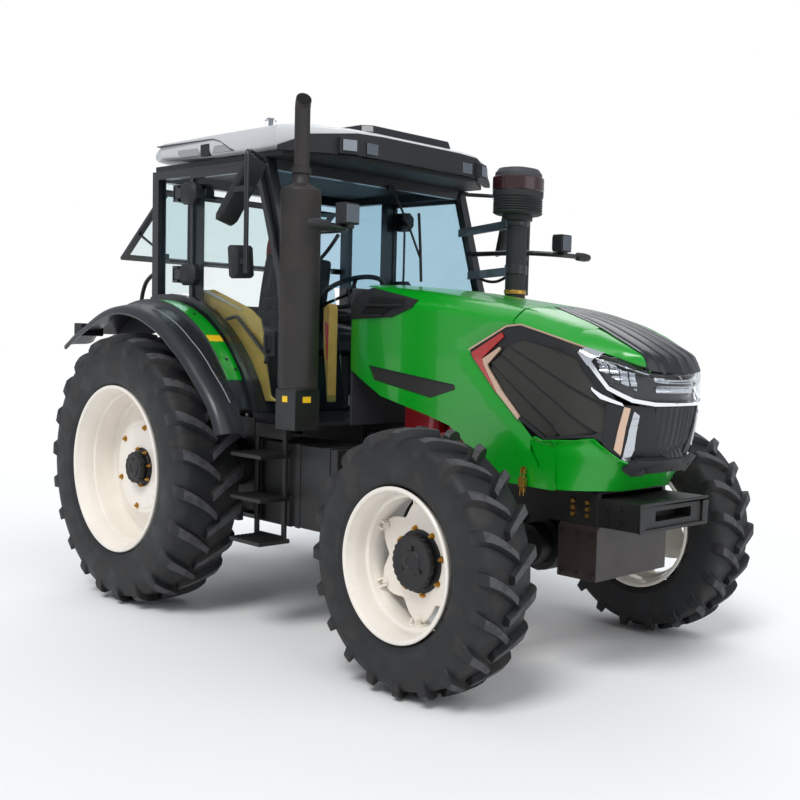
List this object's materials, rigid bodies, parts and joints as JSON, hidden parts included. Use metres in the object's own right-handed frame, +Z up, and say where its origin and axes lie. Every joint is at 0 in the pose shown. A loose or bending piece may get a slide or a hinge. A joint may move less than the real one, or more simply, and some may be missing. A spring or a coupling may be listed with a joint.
{
  "type": "farm tractor",
  "caption": "Four-wheel-drive farm tractor with a glazed cab, bar-tread tyres, upright exhaust, lifting nose panel and rear linkage.",
  "frame": {"origin": "on the ground, under the middle of the tractor's length and width", "axes": "+X forward, +Y to the driver's left, +Z up"},
  "size_m": [4.444, 2.285, 3.005],
  "materials": {
    "tyre_rubber": "moulded tread rubber",
    "cream_paint": "gloss enamel",
    "black_casting": "painted casting",
    "green_paint": "gloss enamel",
    "black_mesh": "fine mesh",
    "lamp_lens": "clear moulded lens",
    "black_plastic": "grained moulding",
    "gloss_plastic": "smooth moulding",
    "chassis_steel": "satin black enamel",
    "engine_red": "enamel",
    "bright_steel": "machined",
    "cab_black": "satin enamel",
    "floor_mat": "ribbed mat",
    "cab_glass": "tinted safety glass",
    "roof_grey": "moulded shell",
    "beacon_lens": "clear lens",
    "seat_fabric": "woven cover",
    "exhaust_steel": "heat-proof paint"
  },
  "bodies": {
    "chassis": {"air_cleaner": "black_plastic", "beacon": "beacon_lens", "bonnet_cowl": "green_paint", "cab_floor": "floor_mat", "cab_frame": "cab_black", "cab_roof": "roof_grey", "cowl_grilles": "black_mesh", "dashboard": "black_plastic", "door_hinges": "cab_black", "drawbar": "chassis_steel", "drive_shaft": "chassis_steel", "engine": "engine_red", "exhaust": "exhaust_steel", "flares": "black_plastic", "front_axle": "black_casting", "front_box": "chassis_steel", "front_frame": "chassis_steel", "lamp_stalks": "black_plastic", "link_brackets": "chassis_steel", "mirrors": "black_plastic", "mudguards": "green_paint", "quarter_windows": "cab_glass", "radiator": "bright_steel", "rear_window_frame": "cab_black", "rear_window_glass": "cab_glass", "roof_hatch": "gloss_plastic", "roof_lining": "black_plastic", "seat": "seat_fabric", "seat_base": "black_plastic", "steps": "chassis_steel", "transmission": "black_casting", "weight_bracket": "chassis_steel", "windscreen": "cab_glass"},
    "wheel_rear_left": {"tyre_rear_left": "tyre_rubber", "rim_rear_left": "cream_paint", "hub_rear_left": "black_casting"},
    "wheel_rear_right": {"tyre_rear_right": "tyre_rubber", "rim_rear_right": "cream_paint", "hub_rear_right": "black_casting"},
    "wheel_front_left": {"tyre_front_left": "tyre_rubber", "rim_front_left": "cream_paint", "hub_front_left": "black_casting"},
    "wheel_front_right": {"tyre_front_right": "tyre_rubber", "rim_front_right": "cream_paint", "hub_front_right": "black_casting"},
    "steer_left": {"knuckle_left": "black_casting"},
    "steer_right": {"knuckle_right": "black_casting"},
    "left_door": {"door_left": "cab_black", "door_glass_left": "cab_glass"},
    "right_door": {"door_right": "cab_black", "door_glass_right": "cab_glass"},
    "nose": {"bonnet_nose": "green_paint", "side_grilles": "black_mesh", "front_grille": "black_mesh", "headlamps": "lamp_lens", "top_strip": "gloss_plastic"},
    "hand_wheel": {"steering_wheel": "black_plastic"},
    "links": {"lower_links": "chassis_steel"},
    "arms": {"lift_arms": "chassis_steel"},
    "rods": {"lift_rods": "chassis_steel"}
  },
  "joints": [
    {"name": "rear_left_roll", "type": "hinge", "parent": "chassis", "child": "wheel_rear_left", "pos_m": [-1.218, 0.93, 0.83], "axis": [0, 1, 0], "continuous": true},
    {"name": "steer_left", "type": "hinge", "parent": "chassis", "child": "steer_left", "pos_m": [1.332, 0.74, 0.64], "axis": [0, 0, 1], "range_deg": [-36, 36]},
    {"name": "front_left_roll", "type": "hinge", "parent": "steer_left", "child": "wheel_front_left", "pos_m": [1.332, 0.93, 0.64], "axis": [0, 1, 0], "continuous": true},
    {"name": "door_left_swing", "type": "hinge", "parent": "chassis", "child": "left_door", "pos_m": [-0.948, 0.865, 2.26], "axis": [0, 0, 1], "range_deg": [0, 65]},
    {"name": "rear_right_roll", "type": "hinge", "parent": "chassis", "child": "wheel_rear_right", "pos_m": [-1.218, -0.93, 0.83], "axis": [0, 1, 0], "continuous": true},
    {"name": "steer_right", "type": "hinge", "parent": "chassis", "child": "steer_right", "pos_m": [1.332, -0.74, 0.64], "axis": [0, 0, 1], "range_deg": [-36, 36]},
    {"name": "front_right_roll", "type": "hinge", "parent": "steer_right", "child": "wheel_front_right", "pos_m": [1.332, -0.93, 0.64], "axis": [0, 1, 0], "continuous": true},
    {"name": "door_right_swing", "type": "hinge", "parent": "chassis", "child": "right_door", "pos_m": [-0.948, -0.865, 2.26], "axis": [0, 0, -1], "range_deg": [0, 65]},
    {"name": "nose_lift", "type": "hinge", "parent": "chassis", "child": "nose", "pos_m": [1.432, 0, 1.875], "axis": [0, -1, 0], "range_deg": [0, 50]},
    {"name": "hand_wheel_turn", "type": "hinge", "parent": "chassis", "child": "hand_wheel", "pos_m": [-0.378, 0, 1.96], "axis": [-0.4695, 0, 0.8829], "range_deg": [-540, 540]},
    {"name": "hitch_lift", "type": "hinge", "parent": "chassis", "child": "links", "pos_m": [-1.278, 0, 0.48], "axis": [0, 1, 0], "range_deg": [-12, 28]},
    {"name": "arm_lift", "type": "hinge", "parent": "chassis", "child": "arms", "pos_m": [-1.328, 0, 1.22], "axis": [0, 1, 0], "range_deg": [-12, 28]},
    {"name": "rod_swing", "type": "hinge", "parent": "arms", "child": "rods", "pos_m": [-1.728, 0, 1.22], "axis": [0, 1, 0], "range_deg": [-28, 12]}
  ],
  "couplings": [
    {"joint": "steer_right", "follows": "steer_left", "ratio": 1},
    {"joint": "arm_lift", "follows": "hitch_lift", "ratio": 1},
    {"joint": "rod_swing", "follows": "hitch_lift", "ratio": -1}
  ]
}
